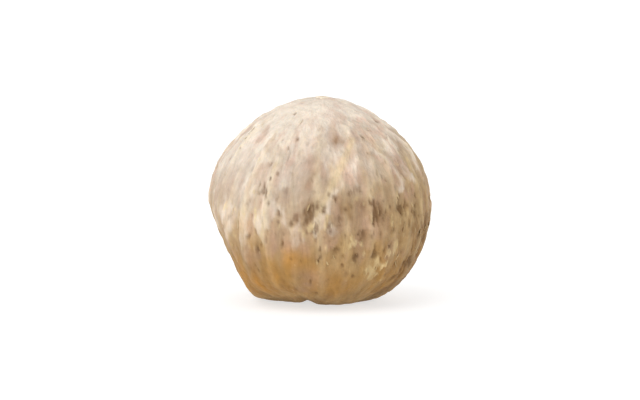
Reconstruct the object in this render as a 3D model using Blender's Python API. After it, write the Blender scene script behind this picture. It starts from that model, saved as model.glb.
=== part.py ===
"""White peppercorn: the dried fruit of the pepper vine with its dark skin soaked off.

Run it with blender --background --python part.py, or from Blender's text editor.

One solid. A small round seed that stands on its base, with the left flank pinched in towards it. Fine
ribs run from the base, where the seed hung on its spike, to the nub at the apex. It rests on the flattened
ring round the sunken scar. The model stands on Z = 0 with +Z up. Sizes are in metres, angles in degrees,
and a share is of the seed's radius.
"""

import math

import bpy
import numpy as np
from mathutils import Matrix, Vector

# The whole seed
DIAMETER = 0.0045
RADIUS = DIAMETER / 2
AXIS_LEAN_RIGHT = 1.5  # how far the apex leans from upright towards +X
AXIS_LEAN_FRONT = 7.0  # and towards -Y

# Flats, each (azimuth, elevation, depth from the centre as a share, rounding of its rim as a share)
SEAT_FLAT = (0.0, -90.0, 0.862, 0.07)
SIDE_FLATS = (
    (188.0, -23.5, 0.908, 0.08),  # the pinched flank
    (240.0, -66.0, 0.890, 0.06),  # under the front of it
    (182.0, 42.0, 0.984, 0.05),  # the shoulder above it
    (318.0, -60.0, 0.933, 0.08),
    (64.0, 12.0, 0.965, 0.10),
    (128.0, -34.0, 0.955, 0.10),
)
LEAST_TOWARDS = 0.2  # the least cosine to a flat's outward way at which its plane is worked out

# Ribs from the base to the apex
RIB_COUNT = 16
RIB_UNEVENNESS = 0.17  # how far a rib strays from even spacing, as a share of that spacing
RIB_WAVE = 2.4  # how far a rib winds to either side, in degrees of longitude
RIB_HEIGHT = 0.000035
RIB_HALF_WIDTH = 0.000085
RIB_POLE_FADE = 16.0  # a rib dies out within this angle of either pole
RIB_STRAY_PHASE = 2.1  # radians from one rib to the next, in how they stray
RIB_WAVE_PHASE = 1.3  # and in how they wave

# The base, where the seed hung: a sunken scar, a crease running up from it at the front, and a lobe by it
SCAR_REACH = 9.0
SCAR_DEPTH = 0.07
CREASE_LONGITUDE = 256.0
CREASE_REACH = 7.0
CREASE_DEPTH = 0.045
CREASE_LENGTH = 36.0
LOBE_WAY = (178.0, -54.0)  # its azimuth and elevation as the seed rests
LOBE_WIDTH = 13.0
LOBE_RISE = 0.015

# The apex: sloping shoulders up to a nub with a dimple in it
SHOULDER_ANGLE = 38.0
SHOULDER_WIDTH = 21.0
SHOULDER_DROP = 0.021
NUB_WIDTH = 6.5
NUB_RISE = 0.026
DIMPLE_WIDTH = 3.2
DIMPLE_DEPTH = 0.022

# Shallow dents all round, spread by the golden angle
DENT_COUNT = 13
DENT_WIDTH = 15.0
DENT_DEPTH = 0.010
DENT_WIDTH_RANGE = 0.3  # how much wider or narrower a dent may be, as a share of its width
DENT_DEPTH_RANGE = 0.4
DENT_WIDTH_PHASE = 1.7  # radians from one dent to the next, in how their widths vary
DENT_DEPTH_PHASE = 2.9
GOLDEN_ANGLE = math.pi * (3 - math.sqrt(5))

# The mesh
STEPS_PER_RIB = 6
RINGS = 38
RING_CROWDING = 0.45  # 0 spaces the rings evenly, and towards 1 they crowd at the poles

DRIED_PULP_COLOUR = (0.62, 0.49, 0.33, 1.0)


def clear_scene():
    for obj in list(bpy.data.objects):
        bpy.data.objects.remove(obj)


def way_of(azimuth, elevation):
    """The unit vector at these angles: azimuth from +X towards +Y, elevation above the horizon."""
    a, e = math.radians(azimuth), math.radians(elevation)
    return np.array([math.cos(a) * math.cos(e), math.sin(a) * math.cos(e), math.sin(e)])


def bump(angle, width):
    """A round bump, 1 at its middle and down to 1/e where the angle reaches the width."""
    return np.exp(-((angle / width) ** 2))


def hollow(angle, reach):
    """A round hollow, 1 at its middle and exactly 0 from its reach on, so what lies beyond stays flat."""
    return np.maximum(1 - (angle / reach) ** 2, 0) ** 2


def smooth_lower(first, second, blend):
    """The lower of two values, rounded off where they come within blend of each other."""
    near = np.maximum(blend - np.abs(first - second), 0) / blend
    return np.minimum(first, second) - near**2 * blend / 4


def angle_between(ways, way):
    return np.degrees(np.arccos(np.clip(ways @ way, -1, 1)))


def rest_turn():
    """Turns the seed's own frame, with the apex at +Z, to the pose that it rests in."""
    lean_front = Matrix.Rotation(math.radians(AXIS_LEAN_FRONT), 3, "X")
    lean_right = Matrix.Rotation(math.radians(AXIS_LEAN_RIGHT), 3, "Y")
    return lean_right @ lean_front


def in_seed_frame(azimuth, elevation, turn):
    return np.array(turn.transposed() @ Vector(way_of(azimuth, elevation)))


def rib_longitudes(colatitude):
    """Each rib's longitude at these colatitudes: even steps, pushed to and fro, with a slow wave."""
    rib = np.arange(RIB_COUNT)
    step = 360 / RIB_COUNT
    strayed = step * (rib + RIB_UNEVENNESS * np.sin(rib * RIB_STRAY_PHASE))
    return strayed + RIB_WAVE * np.sin(np.radians(2 * colatitude)[:, None] + rib * RIB_WAVE_PHASE)


def degrees_apart(first, second):
    return (first - second + 180) % 360 - 180


def rib_relief(longitude, colatitude):
    """The ribs' height in metres: a rounded ridge along each rib, dying out towards both poles."""
    apart = degrees_apart(longitude[:, None], rib_longitudes(colatitude))
    across = np.radians(apart) * np.sin(np.radians(colatitude))[:, None] * RADIUS
    ridge = bump(across, RIB_HALF_WIDTH).max(axis=1)
    from_pole = np.minimum(colatitude, 180 - colatitude)
    return RIB_HEIGHT * ridge * (1 - bump(from_pole, RIB_POLE_FADE))


def dent_relief(ways):
    """The dents as a share of the radius, with their centres on a spiral that covers the ball evenly."""
    total = np.zeros(len(ways))
    for dent in range(DENT_COUNT):
        height = 1 - (2 * dent + 1) / DENT_COUNT
        out = math.sqrt(1 - height**2)
        turn = dent * GOLDEN_ANGLE
        centre = np.array([out * math.cos(turn), out * math.sin(turn), height])
        width = DENT_WIDTH * (1 + DENT_WIDTH_RANGE * math.sin(dent * DENT_WIDTH_PHASE))
        depth = DENT_DEPTH * (1 + DENT_DEPTH_RANGE * math.sin(dent * DENT_DEPTH_PHASE))
        total -= depth * bump(angle_between(ways, centre), width)
    return total


def lobe_relief(ways, turn):
    """The lobe beside the base, as a share of the radius."""
    return LOBE_RISE * bump(angle_between(ways, in_seed_frame(*LOBE_WAY, turn)), LOBE_WIDTH)


def base_hollows(longitude, colatitude):
    """The scar and the crease, as a share of the radius."""
    from_base = 180 - colatitude
    across = degrees_apart(longitude, CREASE_LONGITUDE) * np.sin(np.radians(colatitude))
    crease = CREASE_DEPTH * hollow(across, CREASE_REACH) * bump(from_base, CREASE_LENGTH)
    return np.maximum(SCAR_DEPTH * hollow(from_base, SCAR_REACH), crease)


def apex_relief(colatitude):
    """The nub less its dimple and the drop of the shoulders round it, as a share of the radius."""
    shoulder = SHOULDER_DROP * bump(colatitude - SHOULDER_ANGLE, SHOULDER_WIDTH)
    dimple = DIMPLE_DEPTH * bump(colatitude, DIMPLE_WIDTH)
    return NUB_RISE * bump(colatitude, NUB_WIDTH) - dimple - shoulder


def trimmed(radii, ways, turn, flat):
    """The radii with a flat taken off: a way that meets the flat's plane before the surface stops there."""
    azimuth, elevation, depth, blend = flat
    towards = np.maximum(ways @ in_seed_frame(azimuth, elevation, turn), LEAST_TOWARDS)
    return smooth_lower(radii, RADIUS * depth / towards, RADIUS * blend)


def seed_radii(ways, longitude, colatitude, turn):
    """How far the surface lies from the centre along each way, in metres."""
    radii = RADIUS * (1 + dent_relief(ways) + lobe_relief(ways, turn) + apex_relief(colatitude))
    for flat in SIDE_FLATS:
        radii = trimmed(radii, ways, turn, flat)
    radii += rib_relief(longitude, colatitude)
    radii = trimmed(radii, ways, turn, SEAT_FLAT)
    return radii - RADIUS * base_hollows(longitude, colatitude)


def crowded(colatitude):
    """The rings' colatitudes moved towards the poles, where the base and the apex need them."""
    share = colatitude / 180
    return 180 * (share - RING_CROWDING * np.sin(2 * np.pi * share) / (2 * np.pi))


def follow_ribs(longitude, colatitude):
    """The longitudes moved so that each rib has a line of vertices along it, with even steps between."""
    step = longitude % 360 * RIB_COUNT / 360
    before = np.floor(step).astype(int)
    ribs = rib_longitudes(colatitude)
    row = np.arange(len(step))
    start = ribs[row, before % RIB_COUNT] + 360 * (before // RIB_COUNT)
    end = ribs[row, (before + 1) % RIB_COUNT] + 360 * ((before + 1) // RIB_COUNT)
    return start + (step - before) * (end - start)


def dried_pulp_material():
    material = bpy.data.materials.new("dried_pulp")
    material.use_nodes = True
    shader = material.node_tree.nodes["Principled BSDF"]
    shader.inputs["Base Color"].default_value = DRIED_PULP_COLOUR
    shader.inputs["Roughness"].default_value = 0.75
    shader.inputs["Metallic"].default_value = 0.0
    return material


def make_seed():
    """A UV sphere whose meridians follow the ribs, pushed out to the seed's surface and set on its flat."""
    bpy.ops.mesh.primitive_uv_sphere_add(segments=RIB_COUNT * STEPS_PER_RIB, ring_count=RINGS, radius=1)
    seed = bpy.context.object
    seed.name = "peppercorn"
    mesh = seed.data
    mesh.name = "peppercorn"
    points = np.empty(len(mesh.vertices) * 3)
    mesh.vertices.foreach_get("co", points)
    points = points.reshape(-1, 3)

    colatitude = crowded(np.degrees(np.arccos(np.clip(points[:, 2], -1, 1))))
    longitude = follow_ribs(np.degrees(np.arctan2(points[:, 1], points[:, 0])), colatitude)
    across, down = np.radians(longitude), np.radians(colatitude)
    ways = np.column_stack([np.sin(down) * np.cos(across), np.sin(down) * np.sin(across), np.cos(down)])
    turn = rest_turn()
    radii = seed_radii(ways, longitude, colatitude, turn)
    placed = ways * radii[:, None] @ np.array(turn).T
    low, high = placed.min(axis=0), placed.max(axis=0)
    placed -= [(low[0] + high[0]) / 2, (low[1] + high[1]) / 2, low[2]]

    mesh.vertices.foreach_set("co", placed.ravel())
    mesh.update()
    mesh.shade_smooth()
    mesh.materials.append(dried_pulp_material())
    return seed


def main():
    clear_scene()
    collection = bpy.data.collections.new("white_peppercorn")
    bpy.context.scene.collection.children.link(collection)
    seed = make_seed()
    for other in list(seed.users_collection):
        other.objects.unlink(seed)
    collection.objects.link(seed)


main()
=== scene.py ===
"""Looks of a white peppercorn: its worn pulp, ribs, pits, stains and loose flakes, in a pale studio.

Laid out as a Blender add-on and run as a script. Lengths are in metres and angles in degrees unless a name
says otherwise, and a share is of the seed's radius. A place on the seed is (azimuth, elevation) as it rests:
azimuth from +X towards +Y, elevation above the horizon.
"""

import itertools
import math

import bpy
import numpy as np
from mathutils import Matrix, Vector


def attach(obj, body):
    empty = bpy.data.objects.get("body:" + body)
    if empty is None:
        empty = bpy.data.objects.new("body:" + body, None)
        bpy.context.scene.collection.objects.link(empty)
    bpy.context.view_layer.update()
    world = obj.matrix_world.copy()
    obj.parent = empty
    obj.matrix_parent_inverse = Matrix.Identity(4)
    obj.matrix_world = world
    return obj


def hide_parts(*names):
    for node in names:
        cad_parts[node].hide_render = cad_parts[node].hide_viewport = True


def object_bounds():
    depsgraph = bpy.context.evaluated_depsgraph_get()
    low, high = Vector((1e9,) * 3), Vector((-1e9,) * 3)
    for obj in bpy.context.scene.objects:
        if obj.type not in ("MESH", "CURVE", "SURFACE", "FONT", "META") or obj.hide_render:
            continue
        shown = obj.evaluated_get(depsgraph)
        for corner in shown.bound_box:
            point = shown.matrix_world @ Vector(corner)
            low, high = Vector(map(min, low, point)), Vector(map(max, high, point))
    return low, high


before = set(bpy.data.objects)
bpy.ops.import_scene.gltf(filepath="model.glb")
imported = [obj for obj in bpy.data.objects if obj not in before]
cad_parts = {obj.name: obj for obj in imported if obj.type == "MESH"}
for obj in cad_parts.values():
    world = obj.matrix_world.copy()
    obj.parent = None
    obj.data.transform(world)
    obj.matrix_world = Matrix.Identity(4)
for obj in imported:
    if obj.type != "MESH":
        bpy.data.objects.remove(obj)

bl_info = {
    "name": "White Peppercorn",
    "version": (1, 0, 0),
    "blender": (4, 5, 0),
    "location": "3D View > Sidebar > Peppercorn",
    "description": "Models a white peppercorn with its worn pulp, and a plain studio round it",
    "category": "Add Mesh",
}

CAD_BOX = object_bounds()
MM = 0.001

# The seed's form, as the solid has it
AXIS_LEAN_RIGHT = 1.5  # how far the apex leans from upright towards +X
AXIS_LEAN_FRONT = 7.0  # and towards -Y
# Flats, each (azimuth, elevation, depth from the centre as a share, rounding of its rim as a share)
SEAT_FLAT = (0.0, -90.0, 0.862, 0.07)
SIDE_FLATS = (
    (188.0, -23.5, 0.908, 0.08),
    (240.0, -66.0, 0.890, 0.06),
    (182.0, 42.0, 0.984, 0.05),
    (318.0, -60.0, 0.933, 0.08),
    (64.0, 12.0, 0.965, 0.10),
    (128.0, -34.0, 0.955, 0.10),
)
LEAST_TOWARDS = 0.2  # the least cosine to a flat's outward way at which its plane is worked out
RIB_COUNT = 16
RIB_UNEVENNESS = 0.17
RIB_WAVE = 2.4
RIB_POLE_FADE = 16.0
RIB_STRAY_PHASE = 2.1
RIB_WAVE_PHASE = 1.3
SCAR_REACH = 9.0
SCAR_DEPTH = 0.07
CREASE_LONGITUDE = 256.0
CREASE_REACH = 7.0
CREASE_DEPTH = 0.045
CREASE_LENGTH = 36.0
LOBE_WAY = (178.0, -54.0)
LOBE_WIDTH = 13.0
LOBE_RISE = 0.015
SHOULDER_ANGLE = 38.0
SHOULDER_WIDTH = 21.0
SHOULDER_DROP = 0.021
NUB_WIDTH = 6.5
NUB_RISE = 0.026
DIMPLE_WIDTH = 3.2
DIMPLE_DEPTH = 0.022
DENT_COUNT = 13
DENT_WIDTH = 15.0
DENT_DEPTH = 0.010
DENT_WIDTH_RANGE = 0.3
DENT_DEPTH_RANGE = 0.4
DENT_WIDTH_PHASE = 1.7
DENT_DEPTH_PHASE = 2.9
GOLDEN_ANGLE = math.pi * (3 - math.sqrt(5))

# The grid that the seed is worked out on: under 200,000 triangles, finer across the ribs than along them
MERIDIANS = 544
PARALLELS = 180

# Ribs
RIB_HALF_WIDTH = 0.085 * MM
LESSER_RIB_HALF_WIDTH = 0.060 * MM
STRAY_RIB_HALF_WIDTH = 0.080 * MM
APEX_RIB_FADE = (8.0, 50.0)  # degrees from the apex between which ribs rise to their full height
LOW_RIB_FADE = (-0.6, 0.1)  # how far up, from -1 to 1, they gain the rest of their height
LOW_RIB_SHARE = 0.45
WORN_RIB_SHARE = 0.35
LESSER_RIB_TINT = 0.6  # how much of a rib's colour the lesser ones take
STRAY_RIB_SHARE = 0.8  # their height, as a share of a rib's
STRAY_RIB_WINDING = 0.8  # degrees that they wind to either side
# Stray ribs that slant across the others, each from one place to another
STRAY_RIBS = (((-66.0, 43.0), (-89.0, 6.0)), ((118.0, 30.0), (96.0, -12.0)))

# Tone: the skin is palest round the pale way, towards the key light at the upper left, and darkens towards
# the far side. This is partly the skin's own colour and partly painted light and shade.
PALE_AND_PAINTED_LIGHT_WAY = (225.0, 68.0)
PALE_EDGE = (-0.75, 0.95)
# The worn belt lies round the seed just below its middle, strongest on the worn side
WORN_WAY = (-55.0, -5.0)
BELT_HEIGHT = -0.05
BELT_WIDTH = 0.38
WORN_SIDE = (-0.4, 0.8)  # the cosine to the worn way between which the wear grows

# What marks the skin, with some painted highlights and shade among the marks, each mark as (azimuth,
# elevation, reach in degrees, strength)
SHREDS = (
    (-93, -4.5, 3.4, 1.2), (-71, -12, 3.5, 1), (-63, -0.5, 2.5, 1), (-47, -16, 3, 1),
    (-50, -19, 3.5, 1.2), (-54, -25, 4.5, 1.3), (-58, -31, 4.5, 1.2), (-70, 12, 2.5, 0.9),
    (-144, 6, 4, 0.9), (130, -5, 4, 1), (85, -12, 4, 1), (30, 10, 4, 0.9),
)
HOLLOWS = (
    (-96, 4, 4, 0.9), (-80.5, 9.5, 2.4, 0.9), (-86.5, -2.5, 2.4, 0.8), (-59.5, 1.5, 5, 0.9),
    (-43, 3, 4, 0.85), (-57, -19, 3, 1), (-81, -15, 2.5, 0.8), (-118, 13, 3.5, 0.8), (-15, -15, 5, 1.1),
    (-18, -22, 5, 1.1), (-24, -28, 6, 1.2), (-29, -34, 6, 1.3), (20, -8, 4.5, 1), (70, 4, 4, 1),
    (150, 8, 4, 0.9),
)
# The first three pulp patches, at the upper left, paint highlights as thick pale pulp, which also stands up
# from the skin
PULP_AND_HIGHLIGHT_PATCHES = (
    (-133, 50, 9, 1), (-115, 40, 6.5, 1.4), (-103, 49, 5, 0.9), (-132, 20, 7, 0.4), (-130, 0, 8, 0.7),
    (-135, -16, 8, 0.7), (-146, -9, 10, 1), (-120, -7, 11, 0.9), (-98, -9, 7, 0.5), (-75, 25, 5, 0.4),
    (-20, 18, 9, 0.7), (-43, 13.5, 6, 1.3), (-31, 36, 7, 0.9), (-68, 72, 14, 0.8), (-165, -6, 11, 0.8),
    (-82.5, -7.5, 6, 1.2), (-107, 16, 5, 0.6), (180, 78, 12, 0.8), (40, 35, 14, 0.8), (100, 20, 12, 0.8),
)
# The bare patches near azimuth -8 and -22, below the middle, take the pulp off the right rim as painted shade
BARE_PATCHES_AND_RIM_SHADE = (
    (-97, 14, 11, 1), (-84, 23, 9, 0.8), (-63, 21, 7, 1.1), (-78, 43, 7, 1), (-45, 52, 12, 0.6),
    (-72, 12, 9, 0.8), (-66, -6, 12, 1), (-113, 12, 6, 0.4), (-50, 8, 12, 0.8), (-8, -15, 24, 1),
    (-22, -38, 14, 1), (-150, 18, 12, 0.7), (-110, -18, 10, 0.7), (10, 30, 12, 0.8), (70, 10, 16, 1),
    (140, 28, 14, 0.8),
)
SMOOTH_PATCHES = (
    (-150, 24, 24, 0.7), (-115, 64, 22, 0.6),
)
ROSE_PATCHES = (
    (-60, 53, 12, 1.2), (-64, 36, 22, 1), (-40, 45, 16, 1), (20, 5, 26, 1.3), (75, -8, 24, 1.3),
    (120, 22, 26, 1.2), (165, -4, 24, 1.2),
)
# Besides real stains, the brown marks from azimuth -2 to -30, round the middle and below, paint the shade
# along the right rim
BROWN_STAINS_AND_RIM_SHADE = (
    (-48, -6, 28, 0.36), (-137, -36, 9, 0.7), (-62, 3, 8, 0.8), (-78, 8, 6, 0.6), (-76, 5, 8, 0.8),
    (-96, 6, 8, 0.7), (-97, 20, 9, 0.5), (-66, -9, 6, 0.5), (-45, 3, 5, 0.6), (-30, -20, 10, 0.7),
    (-30, -33, 11, 1), (-8, -15, 13, 1.1), (-18, -7, 9, 1.3), (-20, 4, 7, 1.1), (-26, -10, 8, 1.2),
    (-58.5, 14.5, 5, 0.5), (-86.5, 17, 4.5, 0.45), (-24, -15, 8, 1.1), (-43, -27, 7, 1.1),
    (-64, 20, 5, 0.6), (-10, -17, 12, 1.6), (-19, -28, 14, 1.6), (-30, -34, 8, 1.4), (-76, 43, 3.8, 0.9),
    (-20, -44, 12, 1), (-2, -26, 9, 1.5), (-14, -40, 8, 1.5), (-85, -56, 16, 0.35), (-82, -30, 13, 0.5),
    (-150, -42, 9, 0.4), (-150, -30, 9, 0.5), (75, 5, 12, 0.7), (140, -10, 10, 0.6),
)
# The ochre marks near azimuth -6 and -24 paint the shade along the right rim; the others are stains
OCHRE_STAINS_AND_RIM_SHADE = (
    (-140, -27, 10, 0.8), (-146, -40, 11, 1), (-6, -17, 14, 0.8), (-24, -28, 14, 0.7),
    (-48, -10, 14, 0.3),
)
ORANGE_STAINS = (
    (-103.5, -21.5, 6, 0.8), (-98.5, -24, 7, 0.9), (-119, -34, 8, 0.5), (-146, -40, 12, 1),
    (-137, -37, 8, 1), (-134, -4, 5, 0.5), (60, -30, 14, 0.7),
)
MAUVE_STAINS = (
    (-93, 27, 17, 0.65), (-95, -31, 6, 1), (-97, -37, 4, 0.8), (-102, -43, 4, 0.8), (-78, 43, 5, 1),
    (-72, 55, 7, 0.3), (-103, -10, 9, 0.8), (-113, 12, 7, 0.5), (-72, 18, 6, 0.4), (-147, 18, 9, 0.5),
    (6, 8, 11, 0.5), (48, 2, 12, 0.5), (104, 4, 12, 0.5), (150, 14, 12, 0.6), (-176, 8, 11, 0.4),
)

# Noise drawn out from base to apex, each as (width and length in mm, seed, layers), at the real size of the
# threads and strands of the pulp, and of the shreds and patches that they tear into
STREAKS = {
    "threads": (0.085, 0.55, 41, 1),
    "strands": (0.28, 1.0, 45, 1),
    "tint": (0.24, 0.50, 71, 2),
    "pulp": (0.32, 0.60, 35, 4),
    "ribs": (0.9, 1.1, 21, 1),
    "lesser ribs": (0.5, 0.9, 25, 1),
    "mosaic": (0.13, 0.28, 77, 3),
    "mauve": (0.45, 0.8, 65, 3),
    "blotches": (0.30, 0.5, 75, 3),
    "base": (0.35, 0.9, 79, 3),
}
STREAK_WANDER = 3.0  # how far streaks wander to either side, in degrees
STREAK_BENDS = (2.2, 6.0)  # how many long and short bends they have in a radian
SHORT_BEND_SHARE = 0.4
CROWDING = 0.4  # how fast streaks draw together at a pole: 1 as meridians do, 0 not at all
LEAST_SINE = 0.3  # nearer a pole than this, streaks wander no further
STREAK_FADE = (10.0, 42.0)  # degrees from a pole between which lumps turn into streaks
LUMP_STRETCH = 1.4  # the size of those lumps, in streak widths
FIBRE_POLE_FADE = 2.5  # how fast fibres gain their height away from a pole
# Noise in round lumps, each as (size in mm, seed, layers)
LUMPS = {
    "broad": (1.1, 11, 2),
    "rims": (0.5, 61, 3),
    "winding": (0.5, 31, 1),
    "wrinkles": (0.24, 51, 3),
    "pit rims": (0.13, 55, 2),
}

# How noises, tone and marks add up to the masks
MARK_RAGGEDNESS = 0.35
PIT_RAGGEDNESS = 0.45
TONE_DRIFT = 0.16
STREAK_MIX = (0.12, 0.60)  # shares of threads and strands in the streaks of light and dark
THREAD_SHARE = 0.5  # how high threads stand against strands
TINT_TONE = (0.6, 0.5)  # the tone below which the skin turns straw yellow, and how fast
TINT_ROSE = 0.25
PULP_THREADS = 0.22
PULP_TONE = (0.75, 1.5)  # the tone above which pulp is left, and how fast
PULP_LEFT = 0.6
PULP_BARE = 0.9
BELT_WEAR = 0.45
SHRED_LEFT = 0.9
SHRED_BARE = 0.5
HOLLOW_GONE = 1.1
OCHRE_RAGGEDNESS = 0.12
# How far the ochre pales at the very bottom: painted light against the shade just above the paper
BOTTOM_PAINTED_LIGHT = 0.75
MAUVE_MOST = 0.7
BLOTCH_RANGE = (0.45, 1.2)
BASE_BROWN_MOST = 0.55
SCAR_STAIN = 1.5  # how far the brown of the scar reaches, in scar reaches
# The two values between which each of these rises from 0 to 1
EDGES = {
    "tint": (0.1, 0.8), "pulp": (-0.10, 0.48), "ribs": (-0.5, 0.4), "lesser ribs": (-0.35, 0.45),
    "shreds": (0.68, 1.14), "hollows": (0.62, 1.42), "ochre": (0.02, 0.62), "bottom": (0.66, 0.85),
    "mauve": (0.0, 0.5), "mauve, low": (0.3, 0.7), "mauve, high": (0.75, 0.92), "blotches": (-0.4, 0.4),
    "base": (0.0, 0.6), "base, low": (0.25, 0.6),
}
# Shares that swing with a noise, each as (middle, swing, least)
SHRED_SWING = (0.82, 0.6, 0.35)
OCHRE_SWING = (0.85, 0.35, 0)
ORANGE_SWING = (0.8, 0.7, 0)

# Pits, strewn at random
PIT_SEED = 5
PIT_LEAST_CHANCE = 0.12
PIT_HALF_WIDTHS = (0.9, 2.0)
PIT_SMALLNESS = 2  # 1 gives as many wide pits as narrow ones, and more gives fewer
PIT_STRETCH = 2.4
PIT_STRENGTHS = (0.35, 1.0)

# Flakes of dry pulp that cling by one end
FLAKE_SEED = 23
FLAKE_LEAST_CHANCE = 0.04
FLAKE_BELT_CHANCE = 0.25
FLAKE_LOWEST = -0.5  # how far down the seed flakes still cling, from -1 to 1
FLAKE_HALF_LENGTHS = (0.040 * MM, 0.125 * MM)
FLAKE_SLIMNESS = (0.22, 0.50)  # half width as a share of the half length
FLAKE_HALF_THICKNESS = 0.006 * MM
FLAKE_CURL = (0.03, 0.30)  # how far the free end lifts, as a share of the half length
FLAKE_TURN = 25.0  # how far a flake may turn from the way of the fibres
FLAKE_PALER = (0.15, 0.75)  # how far a flake is paler than the skin round it
FLAKE_TEARS = ((2, 0.22), (3, 0.16), (5, 0.12))  # waves round a flake's outline and how deep they cut
FLAKE_TEAR_TURN = 6.0  # within how many radians those waves start
FLAKE_WAIST = 0.25  # how much narrower its outline is across than along
FLAKE_RIM = 0.4  # how blunt its rim is: 1 as round as a ball's, and towards 0 square
FLAKE_SHORTNESS = 1.5  # 1 gives as many long flakes as short ones, and more gives fewer
FLAKE_GRID = (14, 6)
FLAKE_MASKS = ("pale", "streak", "pulp", "rose", "straw", "ochre", "mauve", "brown")

# What is left of the flower and of the stalk, each as (radius, rise, sink, lobes, depth of the lobes)
STIGMA = (0.12 * MM, 0.050 * MM, 0.05 * MM, 4, 0.22)
STALK = (0.22 * MM, 0.050 * MM, 0.05 * MM, 9, 0.22)
REMNANT_GRID = (36, 16)
BUTTON_DIP = (0.5, 0.45)  # how deep the dip in a button's top is, as a share of its rise, and how wide
DIP_STAIN = 0.4  # how wide the stain in the stigma's dip is
STIGMA_FINISH = {"pale": 1.0, "streak": 0.8, "straw": 0.5}
STIGMA_PULP = (0.9, 0.4)  # at its rim and in its dip
STIGMA_BROWN = 0.20  # in its dip
STALK_BROWN = 0.9
STALK_STREAK = 0.4
BUTTON_CREST = 0.25  # how much of a button's rise follows its lobes
LOBE_START = 0.5  # radians by which its lobes are turned
LOBE_RIPPLE = 0.4  # how strong finer ripples are, against its lobes

# The skin's tones between the worn side and the apex, with how pale it is there. The pale tone is partly a
# painted lit side and the darker ones partly painted shade.
MIDDLE_TONES = (("belly", 0.35), ("flank", 0.65))
# The layers of colour over its tone, from the first to the last, with the most that each may cover
COAT_LAYERS = {
    "pulp": 0.55, "rose": 0.42, "straw": 0.42, "ochre": 0.92, "mauve": 0.6, "brown": 0.85, "orange": 0.75,
    "rib": 0.32, "shred": 0.6, "hollow": 0.68, "pit": 0.8,
}
# Patterns that the material draws. Single fibres are about 0.02 mm across and the meal of the pulp is finer
# still, so both are drawn as coarse as they need to be to show. The mottle is clumps of pulp, at real size.
FINE_FIBRE_SIZE = (0.055 * MM, 0.60 * MM)
FINE_FIBRE_SEED = 83
FINE_FIBRE_SHARE = 1.2  # how high the fine fibres stand against the grain
GRAIN_SIZE = 0.05 * MM
GRAIN_HEIGHT = 0.016 * MM
MOTTLE_SIZE = 0.12 * MM
# How much each pattern darkens and lightens the colour
MOTTLE_RANGE = (0.93, 1.07)
STREAK_RANGE = (0.82, 1.14)
FINE_FIBRE_RANGE = (0.94, 1.075)
NOISE_REACH = (0.3, 0.7)  # where nearly all of a Noise Texture's values lie
WORN_ROUGHNESS = 0.62  # worn down to the seed coat, which is a little waxy
PULP_ROUGHNESS = 0.88
PULP_FINISH = {
    "IOR": 1.45,
    "Specular IOR Level": 0.15,
    "Subsurface Weight": 0.12,
    "Subsurface Radius": (1.0, 0.7, 0.45),
    "Subsurface Scale": 0.06 * MM,
}
PAPER_ROUGHNESS = 0.9
WHITE = (1.0, 1.0, 1.0, 1.0)
# Settings that several nodes share
TIMES = {"operation": "MULTIPLY"}
PLUS = {"operation": "MULTIPLY_ADD"}
OF_COLOURS = {"data_type": "RGBA"}
# Sockets of a Mix node, by number because its kinds share their names
MIX_NUMBERS = (2, 3)
MIX_COLOURS = (6, 7)
MIX_COLOUR_OUT = 2

# The studio
KEY_SPREAD = 50.0
KEY_FROM = (235.0, 55.0)
FILL_SPREAD = 60.0
FILL_FROM = (240.0, 8.0)
FLOOR_SIZE = 4.0
BACKDROP_STRENGTH = 1.0  # how bright the light tent looks behind the seed
CAMERA_AZIMUTH = -90.0
LOOK_BELOW = 0.010 * MM  # how far below the seed's middle the camera looks
FLOOR_GLOW = 0.64  # how bright the light table looks through the paper, which thins the shadow
FLOOR_LIGHT = 0.17  # how brightly it lights the seed

# Gradient noise
NOISE_SIZE = 256  # how many random slopes there are, and units before the noise repeats
NOISE_RANDOM = np.random.default_rng(41)
NOISE_SHUFFLE = NOISE_RANDOM.permutation(NOISE_SIZE)
NOISE_SLOPES = NOISE_RANDOM.normal(size=(NOISE_SIZE, 3))
NOISE_SLOPES /= np.linalg.norm(NOISE_SLOPES, axis=1)[:, None]
NOISE_GAIN = 1.6  # brings it to about -1 to 1
LAYER_SEED_STEP = 7


def linear(hex_colour, alpha=1.0):
    """An sRGB hex colour such as "#c8a27a" as linear red, green, blue and alpha, by the sRGB curve."""
    parts = [int(hex_colour[i : i + 2], 16) / 255 for i in (1, 3, 5)]
    return tuple(p / 12.92 if p <= 0.04045 else ((p + 0.055) / 1.055) ** 2.4 for p in parts) + (alpha,)


def way_of(azimuth, elevation):
    """The unit vector at these angles: as high as the elevation's sine, and its cosine out along the
    azimuth."""
    a, e = math.radians(azimuth), math.radians(elevation)
    return np.array([math.cos(a) * math.cos(e), math.sin(a) * math.cos(e), math.sin(e)])


def bump(distance, width):
    """The exponential of minus the square of distance over width: 1 at the middle and 1/e at the width."""
    return np.exp(-((distance / width) ** 2))


def hollow(distance, reach):
    """1 less the square of distance over reach, squared: 1 at the middle and exactly 0 from the reach on."""
    return np.maximum(1 - (distance / reach) ** 2, 0) ** 2


def smooth_step(value, low, high):
    """0 at low, 1 at high, and between them 3 squares less 2 cubes of the share of the way."""
    share = np.clip((value - low) / (high - low), 0, 1)
    return share * share * (3 - 2 * share)


def smooth_lower(first, second, blend):
    """The lower of two values, rounded off by a square where they come within blend of each other."""
    near = np.maximum(blend - np.abs(first - second), 0) / blend
    return np.minimum(first, second) - near**2 * blend / 4


def between(limits, share):
    """The value at this share of the way from the first limit to the second."""
    return limits[0] + (limits[1] - limits[0]) * share


def angle_between(ways, way):
    """Degrees between each way and one: the arc cosine of their product."""
    return np.degrees(np.arccos(np.clip(ways @ way, -1, 1)))


def degrees_apart(first, second):
    """How far the first angle lies past the second, brought to between -180 and 180."""
    return (first - second + 180) % 360 - 180


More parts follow.
